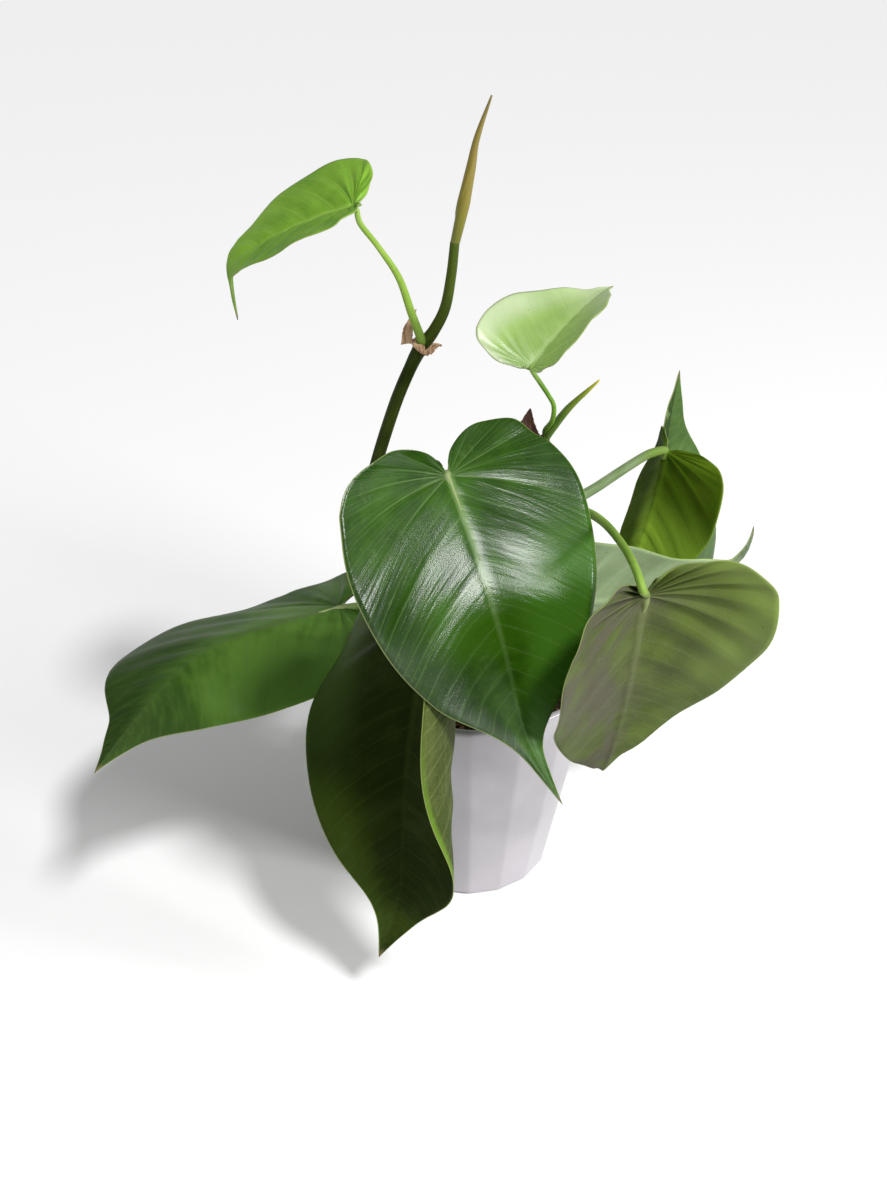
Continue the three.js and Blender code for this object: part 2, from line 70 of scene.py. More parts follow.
# Each leaf's place and bend, as in the solids: angles in degrees, pairs for the left and right half.
# tip is a further bend: its place, spread, droop, sway and twist. slim narrows the blade before its
# tip. dent is a dip in one half's margin: its place, width and depth. ridge thickens the stalk's run
# under the midrib and runs shortens it. The stalk's points have a radius.
LEAVES = {
    "young_left": dict(
        base=(-37, -30, 268), yaw=171, pitch=-17, roll=-3, length=61, wide=(1, 1), lobe=(0.45, 0.45),
        droop=25, sway=6, twist=-12, fold=(10, 21), fold_tip=(0, 3), curl=(-6, -1), curl_tip=(-2, 0),
        lobe_turn=(-13, -3), tip=(0.72, 0.1, 55, 21, -5), look="young",
        stalk=[(-18.3, -23.9, 222.6, 1.4), (-20, -24.2, 232.5, 1.3), (-23.7, -25.2, 244.2, 1.1),
               (-29.8, -26.6, 254.5, 0.9), (-35, -28.6, 262.3, 0.9)]),
    "young_right": dict(
        base=(17, -50, 225), yaw=56, pitch=24, roll=-2, length=52, wide=(1.03, 1), lobe=(0.5, 0.5),
        droop=20, sway=-1, twist=-4, fold=(29, 29), fold_tip=(18, 20), curl=(12, 14), curl_tip=(3, 5),
        lobe_turn=(-2, 0), tip=(0.75, 0.12, 8, 6, 0), look="young_pale",
        stalk=[(22.9, -40.2, 200.6, 0.6), (24.4, -42.2, 203.6, 0.8), (24.5, -44.3, 209.3, 0.75),
               (22.5, -46.8, 214.1, 0.72), (19.6, -49, 219.3, 0.75)]),
    "front": dict(
        base=(-8.2, -77.2, 201.2), yaw=-49.5, pitch=-56, roll=-2, length=107, wide=(1.03, 1.09),
        lobe=(0.59, 0.59), droop=22, sway=-1, twist=17, fold=(3, 6), fold_tip=(6.5, -4), curl=(3, -1.5),
        curl_tip=(1.5, -7.5), lobe_turn=(19, -24.5), tip=(0.8, 0.15, -26.5, 10.5, -5), slim=0.5,
        dent={0: (0.405, 0.075, 0.1)}, look="front",
        stalk=[(12.1, -14.6, 125, 0.6), (11, -16.5, 130, 1.9), (8.5, -22, 141, 1.9),
               (4.5, -34, 160, 1.8), (-1, -50, 182, 1.6), (-6.5, -65, 195, 1.4)]),
    "right": dict(
        base=(49.4, -94.9, 171.1), yaw=95, pitch=-78.5, roll=-25, length=101, wide=(0.95, 1.03),
        lobe=(0.58, 0.58), droop=-13, sway=0, twist=4, fold=(-15.5, -22), fold_tip=(-2, 4),
        curl=(-13.5, -18), curl_tip=(-3, -5), lobe_turn=(4, -2), tip=(0.75, 0.12, -15.5, -14, 3),
        look="right", ridge=1.35,
        stalk=[(19.7, -28.8, 157, 0.6), (21.2, -30.3, 161.5, 1.9), (27, -36, 168, 1.7),
               (35, -46, 173.5, 1.5), (40.2, -63, 178, 1.35), (44, -83, 180.8, 1.25),
               (46.2, -97.6, 181, 1.25), (47.9, -102.4, 177, 1.3)]),
    "upper_right": dict(
        base=(69, 8, 169), yaw=25, pitch=-99, roll=3, length=69, wide=(1, 1.06), lobe=(0.1, 0.35),
        droop=13, sway=6, twist=-15, fold=(22, 10), fold_tip=(10, 14), curl=(7, 5), curl_tip=(-2, 5),
        lobe_turn=(-40, -40), tip=(0.75, 0.12, -2, 4, 0), look="backlit", runs=1,
        stalk=[(25.8, 3.3, 145.5, 0.6), (28.7, 3.5, 148, 2), (33, 3.8, 150.5, 2.1),
               (42.7, 4, 156.2, 1.8), (52.5, 4.7, 163.2, 1.7), (60.1, 5.5, 168.3, 1.6),
               (64, 6.3, 169.8, 1.6)]),
    "back": dict(
        base=(84.6, 31, 77.2), yaw=111, pitch=58.5, roll=24, length=106, wide=(1, 1), lobe=(0.55, 0.55),
        droop=-17, sway=-5, twist=-3, fold=(19.5, -12), fold_tip=(25.5, 9.5), curl=(-3, -18),
        curl_tip=(-7.5, -6), lobe_turn=(0, 0), tip=(0.75, 0.12, -7.5, -2, -2), look="back",
        stalk=[(19.6, 11, 93.5, 0.6), (22.3, 12.6, 97, 1.9), (36, 18, 103, 2), (56, 27, 100, 1.9),
               (72, 34, 90, 1.7), (80, 35.5, 80, 1.5)]),
    "inner": dict(
        base=(34, -22, 126), yaw=-2, pitch=-2, roll=-53, length=76, wide=(1, 1), lobe=(0.5, 0.5),
        droop=-39, sway=-9, twist=2, fold=(10, 15), fold_tip=(7, -3), curl=(0, 9), curl_tip=(-1, -9),
        lobe_turn=(0, 0), tip=(0.85, 0.12, -26, -55, -5), look="inner",
        stalk=[(18.9, 3.6, 109, 0.6), (18.6, 1.6, 112, 1.7), (20, -8, 115, 1.7), (24, -20, 118, 1.6),
               (29, -26, 121, 1.4)]),
    "left": dict(
        base=(-48.9, 8.8, 105.6), yaw=212, pitch=3, roll=2.5, length=126.5, wide=(0.82, 0.97),
        lobe=(0.85, 0.85), droop=1, sway=9, twist=4.5, fold=(-8.5, -17.5), fold_tip=(-47, -13),
        curl=(5.5, -3.5), curl_tip=(-24, -12), lobe_turn=(17.5, -17.5), tip=(0.45, 0.25, 9, 30, -9),
        look="left",
        stalk=[(-16.3, 0.7, 96.5, 0.6), (-19, 4, 99.5, 1.9), (-26, 11.5, 101.5, 1.9),
               (-34, 16, 102.2, 1.8), (-42, 14, 102.6, 1.6)]),
    "low": dict(
        base=(-12.3, -49.2, 137.7), yaw=-113.5, pitch=-46.5, roll=8.5, length=126,
        wide=(1.27, 0.91), lobe=(0.4, 0.4), droop=43, sway=8, twist=-18, fold=(20.5, -12.5),
        fold_tip=(-12.5, 30.5), curl=(63.5, -31.5), curl_tip=(158.5, 8), lobe_turn=(0, 0),
        tip=(0.75, 0.12, 4, -20, -15.5), look="low",
        stalk=[(-13.7, -6.6, 90, 0.6), (-14, -9.2, 93.5, 1.9), (-14.2, -18, 104, 1.9),
               (-13.8, -31.5, 119.5, 1.8), (-13, -41, 130, 1.5)]),
}

# A stalk's run under the midrib: distances, with its depth and girth as shares of the stalk's end.
# Its colour turns to that of the veins between two numbers of stations before the end.
RUN = ((2.5, 0.42, 0.72), (6, 0.2, 0.45), (11, 0.1, 0.22))
RUN_DEPTH = 0.45
TURNING = (4.6, 2.6)

# Each stem's centre line and radius. It swells where a stalk leaves it.
STEMS = {
    "vine_tall": [
        (-12, -4, 62, 2.3), (-12, -4, 74, 2.3), (-12.2, -3.8, 84, 2.3), (-13.2, -2.6, 91, 2.6),
        (-14, -1.6, 97, 2.5), (-15.5, -1, 108, 2.2), (-20, -4, 121, 2.2), (-28.5, -12, 138, 2.1),
        (-34, -18, 156, 2.1), (-34.2, -20, 168, 2.1), (-32, -20, 179, 2.1), (-25.7, -20, 199.2, 2.1),
        (-20.6, -20, 212.1, 2.1), (-17.2, -20, 219, 2.4), (-13, -20, 224.8, 1.9),
        (-9.3, -20, 232.5, 1.75), (-7.4, -20, 243, 1.6), (-6.3, -20, 253.8, 1.5)],
    "vine_front": [
        (12, -5, 62, 2.1), (12, -5, 74, 2.1), (12, -5.4, 86, 2.1), (12.4, -8, 105, 1.9),
        (13, -11.2, 126, 2.3), (15, -18, 142, 1.8), (17, -26, 158, 2.2), (19.2, -31.5, 174.8, 1.6),
        (21.5, -36, 191.1, 1.5), (22.5, -37, 195.2, 1.7)],
    "vine_back": [
        (15, 8, 62, 2.3), (15, 8, 74, 2.3), (15.2, 8.2, 84, 2.3), (16.5, 9.3, 94, 2.6),
        (17.5, 8.4, 102, 2.2), (19, 7.2, 110, 2.5), (20.5, 5, 126, 2.2), (22.5, 3, 146, 2.4),
        (23.2, 2.6, 151, 1.6)],
}

# Rolled blades. Their free edge winds round by ROLL_TURN and stands off by ROLL_STEP.
NEW_LEAVES = {
    "new_leaf_tall": [
        (-6.3, -20, 253.6, 1.5), (-4.7, -20, 260.9, 1.8), (-3.5, -20, 266.5, 2),
        (-1.5, -20, 276.7, 1.55), (0.4, -20, 286.6, 0.95), (4.5, -20, 298.6, 0.3)],
    "new_leaf_front": [
        (22.6, -37, 195, 1.35), (25.4, -38.4, 200.1, 1.3), (29.4, -40, 206.6, 1.15),
        (33.7, -41.5, 212, 0.8), (38.5, -42.5, 217.3, 0.3)],
}
ROLL_TURN = 5.5
ROLL_STEP = 0.16

# Dry sheaths: a torn ring, and flaps as centre lines with a width and the direction across them
SHEATHS = {
    "sheath_tall": {
        "ring": dict(
            at=(-17.4, -20, 218.7), towards=(-14.8, -20, 222.2), inner=2.3, outer=3.7, height=2.2),
        "flaps": [
            ([(-21.4, -20.2, 220.6, 3.8), (-20.8, -20, 226, 3.4), (-18.6, -19.4, 231.8, 0.4)],
             (0.9, -0.3, 0.2)),
            ([(-14.6, -23.4, 219.2, 3), (-12.4, -23.4, 221.6, 2.6), (-10.4, -23.6, 221.4, 0.5)],
             (0.4, 0.5, -0.6))],
        "colours": ((146, 104, 74), (216, 184, 148)), "slot": "tan_sheath",
    },
    "sheath_front": {
        "ring": dict(
            at=(21.4, -35.9, 190.8), towards=(22.5, -37, 195.2), inner=1.7, outer=2.9, height=2.6),
        "flaps": [
            ([(20.4, -38.7, 191.4, 3.5), (18.4, -39.2, 196.4, 8), (16.9, -39.6, 201, 5.6),
              (17.5, -40, 206.6, 0.5)],
             (0.95, 0.1, -0.3))],
        "colours": ((40, 22, 14), (98, 62, 44)), "slot": "dark_sheath",
    },
}
FLAP_THICKNESS = 0.45

# Each leaf's dark, light and vein colour, on the top face and on the underside. rough and shine set
# its gloss, lines and threads how far coarse and fine veins stand out. quilt is the relief between
# veins as a share of the length, which calm takes away towards the tip. dish sinks each half.
# Across, 1 is the left margin and -1 the right. Along, 0 is the stalk and 1 the tip. far starts and
# is full at two places along. flanks start and are full at two across, and start and end at two along.
# The underside's banded darker tone is a tint on the right leaf and painted shade on the low leaf, and hem
# lies along its margin.
BASE_LOOK = dict(
    slot="leaf", threads=0.15, streaks=0.00014, spots=0.75, scars=0.1, dish=0, calm=0, flanks=())
LEAF_LOOKS = {
    "young": dict(
        slot="young_leaf", top=((82, 132, 24), (124, 170, 52), (150, 190, 84)),
        under=((96, 134, 40), (120, 156, 58), (150, 182, 96)),
        rough=0.42, shine=0.16, lines=0.4, quilt=0.013),
    "young_pale": dict(
        slot="young_leaf", top=((132, 172, 74), (158, 192, 100), (184, 210, 140)),
        under=((92, 126, 42), (116, 150, 62), (150, 182, 100)),
        # The far tint and the flank are painted sheen: pale highlights on the blade's far part and on the
        # left half's outer part from the base to the middle.
        far=((184, 200, 156), 0.4, 0.85), flanks=[((184, 198, 160), (0.4, 0.8), (-1, 0.5))],
        rough=0.4, shine=0.9, lines=0.25, quilt=0.002, spots=0.0),
    "front": dict(
        top=((27, 56, 3), (48, 86, 10), (104, 132, 76)),
        under=((92, 110, 58), (112, 128, 76), (140, 152, 106)),
        # The first flank is painted shade that darkens the right half's outer part beyond a fifth of the
        # length. The second makes the left half lighter from near the midrib outwards.
        flanks=[((18, 42, 0), (-0.25, -0.7), (0.2, 2)), ((62, 108, 26), (0.2, 0.6), (0.25, 0.8))],
        rough=0.25, shine=0.34, lines=0.34, quilt=0.0012, dish=1.5, streaks=0.00026),
    "right": dict(
        top=((46, 82, 22), (66, 104, 36), (96, 130, 64)),
        under=((60, 76, 22), (80, 98, 36), (112, 118, 82)),
        banded_tint_and_shade=((77, 72, 63), -0.45, 0.25), bands=(10, 1.7),
        flanks=[((112, 134, 62), (-0.4, -0.85), (-1, 0.35))],
        rough=0.42, shine=0.14, lines=0.2, quilt=0.017, calm=0.8),
    "backlit": dict(
        slot="shaded_leaf", top=((38, 62, 0), (52, 80, 6), (74, 104, 26)),
        under=((66, 92, 10), (88, 116, 22), (110, 138, 50)),
        # far is painted light: the blade grows lighter beyond its base as if lit through from behind. The
        # flank is painted shade on the left half's outer part.
        far=((180, 222, 74), 0.15, 0.5), flanks=[((42, 62, 8), (0.1, 0.6), (-1, 2))],
        rough=0.5, shine=0.03, lines=0.12, quilt=0.0018),
    "back": dict(
        top=((56, 82, 36), (76, 104, 50), (112, 134, 84)),
        under=((66, 94, 42), (84, 112, 56), (118, 138, 92)),
        # The flank is painted shade: it darkens the left half, which lies in shadow.
        flanks=[((34, 54, 18), (-0.15, 0.1), (-1, 2))],
        rough=0.45, shine=0.12, lines=0.25, quilt=0.004, scars=0.6),
    "inner": dict(
        top=((48, 88, 24), (70, 112, 38), (100, 140, 66)),
        under=((134, 154, 112), (156, 176, 134), (168, 186, 142)),
        far=((56, 64, 50), 0.7, 0.86), rough=0.42, shine=0.15, lines=0.25, quilt=0.004),
    "left": dict(
        top=((50, 82, 24), (82, 118, 44), (84, 98, 62)),
        under=((90, 108, 60), (112, 128, 80), (138, 150, 104)),
        far=((48, 64, 32), 0.5, 0.85),
        flanks=[((38, 60, 20), (0.05, -0.4), (0.3, 1)), ((84, 124, 48), (0.3, 0.7), (-1, 0.5))],
        rough=0.44, shine=0.05, lines=0.3, quilt=0.005, threads=0.12),
    "low": dict(
        slot="shaded_leaf", top=((28, 40, 4), (44, 58, 12), (64, 80, 32)),
        under=((46, 62, 16), (88, 98, 52), (132, 140, 92)),
        # The flank is painted light: a lighter strip along the right half's margin, outside the front
        # leaf's shadow. The underside's banded darker tone is painted shade.
        flanks=[((72, 100, 38), (-0.5, -0.9), (-1, 0.35))],
        banded_tint_and_shade=((44, 56, 18), 0.5, 0.9), bands=(1.4, 8), hem=((100, 136, 40), 0.6, 2.6),
        rough=0.42, shine=0.05, lines=0.18, quilt=0.006),
}
MARGIN_COLOUR = (150, 164, 96)
SPOT_COLOUR = (88, 74, 36)
PRICK_COLOUR = (34, 42, 12)
DRY_COLOUR = (104, 98, 62)

# How much of the colour below a tint covers
TINT = 0.85

# Dark and light tones of stalks and stems, and where a stem's end turns to a third colour
STALK_LOOK = ((84, 116, 48), (120, 150, 76))
STALK_LOOKS = {
    "young_left": ((122, 156, 56), (150, 182, 82)),
    "young_right": ((84, 126, 32), (112, 152, 54)),
    "right": ((108, 144, 48), (138, 170, 76)),
    "upper_right": ((122, 148, 96), (156, 176, 134)),
}
STALK_FOOT_COLOUR = (70, 84, 34)
STEM_LOOKS = {
    "vine_tall": ((30, 40, 4), (50, 62, 16), (0.7, 0.95, (70, 86, 26))),
    "vine_front": ((50, 72, 20), (84, 108, 42), (0.8, 0.95, (70, 96, 24))),
    "vine_back": ((56, 74, 26), (92, 112, 50), (0.8, 0.95, (84, 104, 44))),
}
STEM_FOOT_COLOUR = (60, 52, 30)

# Each rolled blade's colours from foot to tip, and that of its ribs
ROLLED_LOOKS = {
    "new_leaf_tall": (
        [(0, (92, 98, 18)), (0.3, (118, 112, 20)), (0.7, (126, 108, 36)), (1, (112, 98, 44))],
        (138, 130, 46)),
    "new_leaf_front": (
        [(0, (58, 92, 14)), (0.45, (76, 108, 12)), (0.8, (122, 138, 10)), (1, (196, 184, 30))],
        (104, 134, 30)),
}

# The pot's glaze in two near tones, and the points that soften a corner, in degrees from it
GLAZE = ((164, 160, 165), (176, 172, 177))
CORNER_POINTS = (-2.6, -1.7, -0.9, 0, 0.9, 1.7, 2.6)
CORNER_REACH = 1.8
CORNER_SOFTNESS = 0.0022

# Soil from dark to light by its tone, up to the white grains, and its loose chips
SOIL_COLOURS = [
    (0.0, (30, 21, 15)), (0.35, (58, 40, 27)), (0.7, (92, 66, 44)), (0.93, (120, 92, 64)),
    (0.96, (222, 216, 204)),
]
SOIL_CRACKS = (24, 17, 12)
CHIPS = 1500
CHIP_SIZES = (0.5, 0.7, 0.9, 1.2, 1.6)
WHITE_GRAINS = 0.965

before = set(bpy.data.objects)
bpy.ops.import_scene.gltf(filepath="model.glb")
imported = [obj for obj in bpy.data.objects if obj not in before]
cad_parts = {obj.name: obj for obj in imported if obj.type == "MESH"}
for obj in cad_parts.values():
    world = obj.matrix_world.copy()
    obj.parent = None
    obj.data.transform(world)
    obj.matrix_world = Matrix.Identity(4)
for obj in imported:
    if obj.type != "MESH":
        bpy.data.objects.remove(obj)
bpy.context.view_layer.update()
rng = random.Random(SEED)


def linear(*colour):
    """A colour of 0 to 255 as the shader takes it."""
    shares = [v / 255 for v in colour]
    return (*(v / 12.92 if v <= 0.04045 else ((v + 0.055) / 1.055) ** 2.4 for v in shares), 1)


def smooth(x, low=0.0, high=1.0):
    t = np.clip((x - low) / (high - low), 0, 1)
    return t * t * (3 - 2 * t)


def unit(v):
    return v / np.maximum(np.linalg.norm(v, axis=-1, keepdims=True), 1e-12)


def turned(first, second, degrees):
    """Two square axes turned in their own plane, the first towards the second."""
    c, s = cos(radians(degrees)), sin(radians(degrees))
    return first * c + second * s, second * c - first * s


def spline(points, t, reflect):
    """Catmull-Rom through the points, whose ends are reflected or repeated."""
    n = len(points) - 1
    ends = (2 * points[0] - points[1], 2 * points[-1] - points[-2]) if reflect else (points[0], points[-1])
    line = np.vstack([ends[0], points, ends[1]])
    x = np.clip(np.atleast_1d(t), 0, 1) * n
    i = np.minimum(x.astype(int), n - 1)
    w = (x - i)[:, None]
    p0, p1, p2, p3 = (line[i + k] for k in range(4))
    v0, v1 = (p2 - p0) / 2, (p3 - p1) / 2
    return (2 * p1 - 2 * p2 + v0 + v1) * w**3 + (-3 * p1 + 3 * p2 - 2 * v0 - v1) * w**2 + v0 * w + p1


def midrib_of(leaf):
    """Points of the midrib and their axes: along, to the left, up."""
    yaw, pitch = radians(leaf["yaw"]), radians(leaf["pitch"])
    along = np.array([cos(pitch) * cos(yaw), cos(pitch) * sin(yaw), sin(pitch)])
    up = np.array([-sin(pitch) * cos(yaw), -sin(pitch) * sin(yaw), cos(pitch)])
    side = np.cross(up, along)
    side, up = turned(side, up, leaf["roll"])
    at, over, droop, sway, twist = leaf["tip"]
    step = leaf["length"] / MIDRIB_STEPS
    point = np.array(leaf["base"], float)
    rows = []
    for i in range(MIDRIB_STEPS + 1):
        rows.append((point, along, side, up))
        ends = smooth(np.array([i, i + 1]) / MIDRIB_STEPS, at - over, at + over)
        share = float(ends[1] - ends[0])
        point = point + along * step / 2
        up, along = turned(up, along, leaf["droop"] / MIDRIB_STEPS + droop * share)
        along, side = turned(along, side, leaf["sway"] / MIDRIB_STEPS + sway * share)
        side, up = turned(side, up, leaf["twist"] / MIDRIB_STEPS + twist * share)
        point = point + along * step / 2
    return [np.array(column) for column in zip(*rows)]


def vein_grid(leaf, half):
    """Flat points of the rays from midrib to margin, and their places on them."""
    t = SINUS_SHARE + (1 - SINUS_SHARE) * np.linspace(0, 1, RAYS + 1)
    edge = spline(HALF_OUTLINE, t, reflect=False)
    start = np.stack([np.clip(edge[:, 0] - VEIN_SLANT * edge[:, 1], 0, 1), np.zeros(len(t))], -1)
    end = edge * [1, leaf["wide"][half]]
    end[:, 1] *= 1 - leaf.get("slim", 0) * smooth(edge[:, 0], 0.6, 0.86)
    end[:, 0] = np.where(edge[:, 0] < 0, edge[:, 0] * leaf["lobe"][half], edge[:, 0])
    if half in leaf.get("dent", ()):
        at, width, depth = leaf["dent"][half]
        end += (start - end) * depth * bell(t - at, 1, width)[:, None]
    bow = VEIN_BOW * (0.2 + 0.8 * smooth(edge[:, 0], -0.2, 0.1))[:, None]
    across = end - start
    middle = (start + end) / 2 + np.stack([-across[:, 1], across[:, 0]], -1) * bow
    r = np.linspace(0, 1, STEPS + 1)[None, :, None]
    flat = (1 - r) ** 2 * start[:, None] + 2 * r * (1 - r) * middle[:, None] + r**2 * end[:, None]
    flat[..., 1] = np.maximum(flat[..., 1], 0)
    return flat, t[:, None] + 0 * r[..., 0], r[..., 0] + 0 * t[:, None]


def bend(leaf, midrib, flat, half):
    """Where flat points of one half, 0 left or 1 right, lie on the bent blade."""
    along, out = flat[..., 0], flat[..., 1]
    s = np.clip(along, 0, 1) * MIDRIB_STEPS
    i = np.minimum(s.astype(int), MIDRIB_STEPS - 1)
    w = (s - i)[..., None]
    point, forward, side, up = (axis[i] * (1 - w) + axis[i + 1] * w for axis in midrib)
    share = smooth(along)
    fold = np.radians(leaf["fold"][half] * (1 - share) + leaf["fold_tip"][half] * share)
    curl = np.radians(leaf["curl"][half] * (1 - share) + leaf["curl_tip"][half] * share)
    turn = curl * out / HALF_WIDTH / 2
    chord = out * leaf["length"] * np.sinc(turn / np.pi)
    back = np.minimum(along, 0) * leaf["length"]
    lobe = radians(leaf["lobe_turn"][half])
    sign = 1 if half == 0 else -1
    return (point + forward * (back * cos(lobe))[..., None]
            + side * (chord * np.cos(fold + turn) * sign)[..., None]
            + up * (chord * np.sin(fold + turn) + back * sin(lobe))[..., None])


def bell(distance, height, width):
    return height * np.exp(-((distance / width) ** 2))


def make_piece(name, points, faces, materials, slots=None, values=None, is_smooth=True):
    """A mesh piece from millimetre points, with named values for each point."""
    mesh = bpy.data.meshes.new(name)
    mesh.from_pydata((np.asarray(points) * MM).tolist(), [], faces)
    for material in materials:
        mesh.materials.append(material)
    if slots:
        mesh.polygons.foreach_set("material_index", slots)
    mesh.polygons.foreach_set("use_smooth", [is_smooth] * len(mesh.polygons))
    for key, column in (values or {}).items():
        layer = mesh.attributes.new(key, "FLOAT", "POINT")
        layer.data.foreach_set("value", np.asarray(column, np.float32))
    mesh.update()
    piece = bpy.data.objects.new(name, mesh)
    bpy.context.scene.collection.objects.link(piece)
    return piece


def settle(piece, slot, *nodes):
    """The piece rides on the plant's body and stands for its solid. Its slot is not used."""
    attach(piece, BODY)
    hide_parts(*nodes)


class Look:
    """A node material, built from its inputs to its one shader. Its colour is laid on in coats."""

    def __init__(self, name):
        self.material = bpy.data.materials.new(name)
        self.material.use_nodes = True
        self.tree = self.material.node_tree
        self.shader = self.tree.nodes["Principled BSDF"]
        self.place = self.add("ShaderNodeTexCoord").outputs["Object"]
        self.colour = None

    def add(self, kind, inputs=None, **settings):
        node = self.tree.nodes.new(kind)
        for key, value in settings.items():
            setattr(node, key, value)
        for key, value in (inputs or {}).items():
            self.put(node.inputs[key], value)
        return node

    def put(self, socket, value):
        if isinstance(value, bpy.types.NodeSocket):
            self.tree.links.new(value, socket)
        else:
            socket.default_value = value

    def done(self, **inputs):
        """Puts its colour and the other inputs on the shader."""
        for key, value in {"Base_Color": self.colour, **inputs}.items():
            self.put(self.shader.inputs[key.replace("_", " ")], value)
        return self.material

    def constant(self, **inputs):
        for key, value in inputs.items():
            self.shader.inputs[key.replace("_", " ")].default_value = value

    def value(self, name):
        return self.add("ShaderNodeAttribute", attribute_name=name).outputs["Fac"]

    def stretched(self, vector, scale):
        return self.add("ShaderNodeMapping", {"Vector": vector, "Scale": scale}).outputs[0]

    def maths(self, operation, first, second):
        return self.add("ShaderNodeMath", {0: first, 1: second}, operation=operation).outputs[0]

    def fade(self, value, start, end, low=0.0, high=1.0):
        """low before start and high after end, smooth in between."""
        node = self.add("ShaderNodeMapRange", {0: value, 1: start, 2: end, 3: low, 4: high})
        node.interpolation_type = "SMOOTHSTEP"
        return node.outputs[0]

    def times(self, first, *others):
        for other in others:
            first = self.maths("MULTIPLY", first, other)
        return first

    def plus(self, first, second):
        return self.maths("ADD", first, second)

    def paint(self, share, colour, under=None):
        """Lays a colour over another, or over what is there."""
        under = linear(*under) if under else self.colour
        inputs = {0: share, 6: under, 7: linear(*colour)}
        self.colour = self.add("ShaderNodeMix", inputs, data_type="RGBA").outputs[2]

    def ramp(self, value, stops):
        """Starts with a colour ramp through stops of place and colour."""
        node = self.add("ShaderNodeValToRGB", {"Fac": value})
        elements = node.color_ramp.elements
        while len(elements) < len(stops):
            elements.new(0.5)
        for i, (at, _) in enumerate(stops):
            elements[i].position = at
        for i, (_, colour) in enumerate(stops):
            elements[i].color = linear(*colour)
        self.colour = node.outputs[0]

    def noise(self, scale, detail=3, roughness=0.5, place=None):
        inputs = {"Vector": place or self.place, "Scale": scale, "Detail": detail, "Roughness": roughness}
        return self.add("ShaderNodeTexNoise", inputs).outputs["Fac"]

    def grain(self, place, scale):
        return self.noise(1, 2, 0.5, self.stretched(place, scale))

    def cells(self, scale, place=None, feature="F1"):
        inputs = {"Vector": place or self.place, "Scale": scale}
        return self.add("ShaderNodeTexVoronoi", inputs, feature=feature).outputs["Distance"]

    def dots(self, scale, full, gone, strength):
        return self.fade(self.cells(scale), full, gone, strength, 0)

    def bump(self, height, distance, strength=1.0, under=None):
        node = self.add("ShaderNodeBump", {"Height": height, "Distance": distance, "Strength": strength})
        if under is not None:
            self.put(node.inputs["Normal"], under)
        return node.outputs["Normal"]


# What a point of a blade knows: millimetres to the nearest side vein, the midrib and the margin, its
# ray's share of the outline, its share of the ray, and its places along and across
MEASURES = ("vein", "rib", "edge", "ray", "share", "along", "side")


class BladeLook(Look):
    """The material of one face of a blade, with its measures and the streaks along its rays."""

    def __init__(self, name):
        super().__init__(name)
        for key in MEASURES:
            setattr(self, key, self.value(key))
        self.flat = self.add("ShaderNodeCombineXYZ", {0: self.ray, 1: self.share}).outputs[0]
        self.strands = self.grain(self.flat, (120, 2.2, 1))


def paint_patches(look, finish, dark, light):
    """Soft patches of two tones, and the colours laid on the far end and the flanks, which on some leaves
    are painted sheen, painted light and painted shade.
    """
    patches, clouds = look.noise(42, 4, 0.6), look.noise(13, 2, 0.5)
    tone = look.plus(look.times(patches, 0.5), look.times(clouds, 0.4))
    tone = look.plus(tone, look.times(look.strands, 0.1))
    look.paint(look.fade(tone, 0.4, 0.6), light, dark)
    if "far" in finish:
        shade, start, full = finish["far"]
        look.paint(look.fade(look.along, start, full, 0, TINT), shade)
    wavy = look.plus(look.side, look.times(look.maths("SUBTRACT", clouds, 0.5), 0.7))
    for shade, (start, full), (base_end, tip_end) in finish["flanks"]:
        look.paint(look.times(
            look.fade(wavy, start, full, 0, TINT),
            look.fade(look.along, base_end - 0.15, base_end + 0.15),
            look.fade(look.along, tip_end - 0.2, tip_end + 0.2, 1, 0.1)), shade)


def paint_underside(look, finish):
    """The dark bands, a tint on the right leaf and painted shade on the low leaf, and the hem that only an
    underside has.
    """
    if "banded_tint_and_shade" in finish:
        shade, start, full = finish["banded_tint_and_shade"]
        bands = look.fade(look.grain(look.flat, (*finish["bands"], 1)), 0.38, 0.6, 0.3, 0.92)
        look.paint(look.times(look.fade(look.side, start, full, 0.25, 1), bands), shade)
    if "hem" in finish:
        shade, full, gone = finish["hem"]
        further = look.fade(look.along, 0.2, 0.5)
        look.paint(look.times(look.fade(look.edge, full, gone, 0.8, 0), further), shade)


def paint_veins(look, finish, light, vein):
    """Paler side veins in a soft halo, the tapering midrib, and the fine veins between them."""
    lines = finish["lines"]
    fading = look.fade(look.share, 0.35, 0.95, 1, 0.2)
    look.paint(look.times(look.fade(look.vein, 0.2, 2.6, lines * 0.4, 0), fading), light)
    look.paint(look.times(look.fade(look.vein, 0.12, 0.48, lines, 0), fading), vein)
    slimmer = look.maths("DIVIDE", look.rib, look.maths("SUBTRACT", 1.12, look.along))
    midrib = look.fade(slimmer, 0.4, 2.2, min(1, lines * 2.2), 0)
    look.paint(look.times(midrib, look.fade(look.along, 0.05, 0.65, 1, 0.22)), vein)
    look.paint(look.fade(look.strands, 0.4, 0.75, 0, 0.2), light)
    wander = look.times(look.grain(look.flat, (5, 1.5, 1)), 0.7)
    thread = look.maths("PINGPONG", look.plus(look.times(look.ray, FINE_VEINS), wander), 0.5)
    look.paint(look.fade(thread, 0.015, 0.07, finish["threads"], 0), vein)


def paint_net(look, vein):
    net = look.cells(1, look.stretched(look.flat, (170, 34, 1)), "DISTANCE_TO_EDGE")
    look.paint(look.fade(net, 0.0, 0.12, 0.08, 0), vein)


